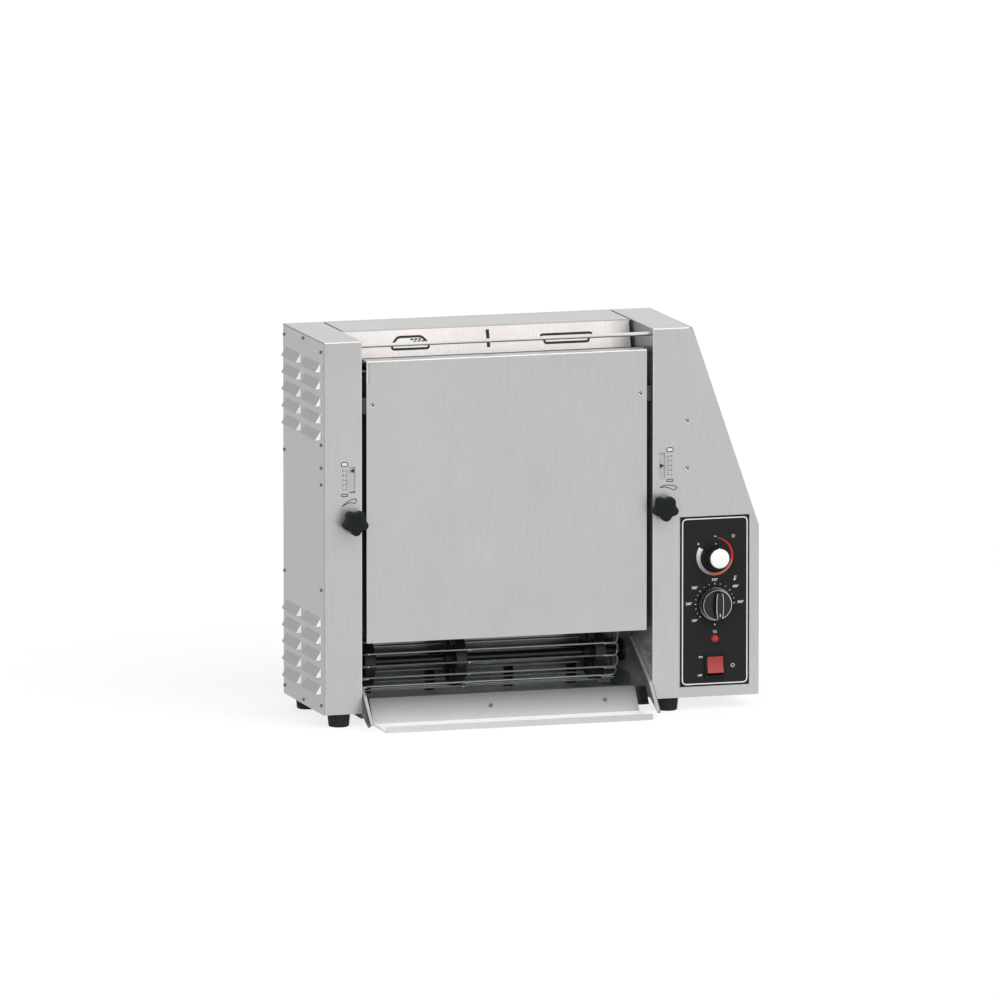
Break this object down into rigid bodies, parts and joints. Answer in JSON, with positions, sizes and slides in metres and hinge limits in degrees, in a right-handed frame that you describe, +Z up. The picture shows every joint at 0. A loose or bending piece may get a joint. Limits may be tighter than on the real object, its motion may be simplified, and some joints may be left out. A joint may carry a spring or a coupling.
{
  "type": "vertical conveyor bun toaster",
  "caption": "Countertop vertical bun toaster: two sheet-steel towers, lift-off front cover, wire conveyor, heated platens with thickness knobs, and a front exit chute.",
  "frame": {"origin": "bottom centre of the whole part's box, on the surface that the feet stand on", "axes": "+Z up, +X to the right as seen from the front, +Y to the back"},
  "size_m": [0.5782, 0.246, 0.4875],
  "materials": {
    "brushed_steel": "vertical brushed stainless sheet",
    "cover_steel": "brushed stainless sheet",
    "slide_steel": "bright sheet",
    "bright_steel": "bright drawn steel",
    "dark_steel": "heat-darkened steel",
    "platen_metal": "cast plate, satin",
    "screw_steel": "zinc-plated screw heads",
    "belt_wire": "drawn stainless wire",
    "bronze": "sintered bronze",
    "black_rubber": "moulded rubber",
    "black_plastic": "matt moulded plastic",
    "gloss_black": "gloss moulded plastic",
    "panel_black": "screen-printed film on plate",
    "white_plastic": "gloss moulded plastic",
    "chrome_trim": "bright plated",
    "red_lens": "clear red plastic",
    "grey_plastic": "moulded plastic",
    "board_green": "circuit board"
  },
  "bodies": {
    "body": {"left_tower_shell": "brushed_steel", "left_side_cover": "brushed_steel", "right_tower_front": "brushed_steel", "right_tower_wall": "brushed_steel", "right_tower_back": "brushed_steel", "right_tower_ends": "brushed_steel", "right_side_cover": "brushed_steel", "rear_rails": "brushed_steel", "bun_slide": "slide_steel", "side_cover_screws": "dark_steel", "front_screws": "screw_steel", "rear_panel": "brushed_steel", "rear_panel_screws": "screw_steel", "top_hood": "cover_steel", "front_cover": "cover_steel", "cover_brackets": "brushed_steel", "guide_rod": "bright_steel", "platen_frame": "dark_steel", "pointer_guides": "brushed_steel", "wire_belt": "belt_wire", "shaft_bushes": "bronze", "drive_chain": "dark_steel", "gear_motor": "dark_steel", "crumb_pan": "brushed_steel", "exit_chute": "cover_steel", "chute_screws": "dark_steel", "exit_cheeks": "brushed_steel", "control_plate": "panel_black", "speed_control": "grey_plastic", "thermostat_body": "grey_plastic", "lamp_lens": "red_lens", "lamp_body": "grey_plastic", "switch_bezel": "gloss_black", "control_board": "board_green", "cord_gland": "black_plastic", "feet": "black_rubber"},
    "left_adjuster": {"left_star_knob": "black_plastic", "left_adjuster_screw": "bright_steel"},
    "right_adjuster": {"right_star_knob": "black_plastic", "right_adjuster_screw": "bright_steel"},
    "left_platen_carriage": {"left_platen": "platen_metal", "left_heater": "dark_steel", "left_platen_nut": "bronze", "left_platen_pins": "bright_steel"},
    "right_platen_carriage": {"right_platen": "platen_metal", "right_heater": "dark_steel", "right_platen_nut": "bronze", "right_platen_pins": "bright_steel"},
    "left_pointer_slide": {"left_pointer": "grey_plastic"},
    "right_pointer_slide": {"right_pointer": "grey_plastic"},
    "upper_drum": {"upper_drum_shaft": "bright_steel", "upper_drum_wheels": "dark_steel"},
    "lower_drum": {"lower_drum_shaft": "bright_steel", "lower_drum_wheels": "dark_steel", "driven_sprocket": "dark_steel"},
    "motor_wheel": {"motor_sprocket": "dark_steel"},
    "speed_dial": {"speed_knob": "black_plastic", "speed_knob_cap": "white_plastic"},
    "thermostat_dial": {"thermostat_knob": "chrome_trim"},
    "power_rocker": {"switch_rocker": "red_lens"}
  },
  "joints": [
    {"name": "left_platen_move", "type": "slide", "parent": "body", "child": "left_platen_carriage", "axis": [0, -1, 0], "range_m": [-0.016, 0]},
    {"name": "left_thickness_turn", "type": "hinge", "parent": "body", "child": "left_adjuster", "pos_m": [-0.24505, -0.069, 0.2615], "axis": [0, -1, 0], "range_deg": [-270, 0]},
    {"name": "left_pointer_move", "type": "slide", "parent": "body", "child": "left_pointer_slide", "axis": [0, 0, 1], "range_m": [-0.0235, 0]},
    {"name": "right_platen_move", "type": "slide", "parent": "body", "child": "right_platen_carriage", "axis": [0, -1, 0], "range_m": [-0.008, 0.008]},
    {"name": "right_thickness_turn", "type": "hinge", "parent": "body", "child": "right_adjuster", "pos_m": [0.15995, -0.069, 0.2615], "axis": [0, -1, 0], "range_deg": [-135, 135]},
    {"name": "right_pointer_move", "type": "slide", "parent": "body", "child": "right_pointer_slide", "axis": [0, 0, 1], "range_m": [-0.01175, 0.01175]},
    {"name": "lower_drum_spin", "type": "hinge", "parent": "body", "child": "lower_drum", "pos_m": [-0.04255, 0.0592, 0.0605], "axis": [1, 0, 0], "continuous": true},
    {"name": "upper_drum_spin", "type": "hinge", "parent": "body", "child": "upper_drum", "pos_m": [-0.04255, 0.0592, 0.4025], "axis": [1, 0, 0], "continuous": true},
    {"name": "motor_wheel_spin", "type": "hinge", "parent": "body", "child": "motor_wheel", "pos_m": [0.16645, 0.0592, 0.1525], "axis": [1, 0, 0], "continuous": true},
    {"name": "speed_turn", "type": "hinge", "parent": "body", "child": "speed_dial", "pos_m": [0.22895, -0.069, 0.1955], "axis": [0, -1, 0], "range_deg": [-270, 0]},
    {"name": "thermostat_turn", "type": "hinge", "parent": "body", "child": "thermostat_dial", "pos_m": [0.22895, -0.069, 0.1355], "axis": [0, -1, 0], "range_deg": [-300, 0]},
    {"name": "power_rock", "type": "hinge", "parent": "body", "child": "power_rocker", "pos_m": [0.22895, -0.066, 0.0568], "axis": [1, 0, 0], "range_deg": [0, 18]}
  ],
  "couplings": [
    {"joint": "left_thickness_turn", "follows": "left_platen_move", "rad_per_m": 294},
    {"joint": "left_pointer_move", "follows": "left_platen_move", "ratio": 1.465},
    {"joint": "right_thickness_turn", "follows": "right_platen_move", "rad_per_m": 294},
    {"joint": "right_pointer_move", "follows": "right_platen_move", "ratio": 1.465},
    {"joint": "upper_drum_spin", "follows": "lower_drum_spin", "ratio": 1},
    {"joint": "motor_wheel_spin", "follows": "lower_drum_spin", "ratio": 1}
  ]
}
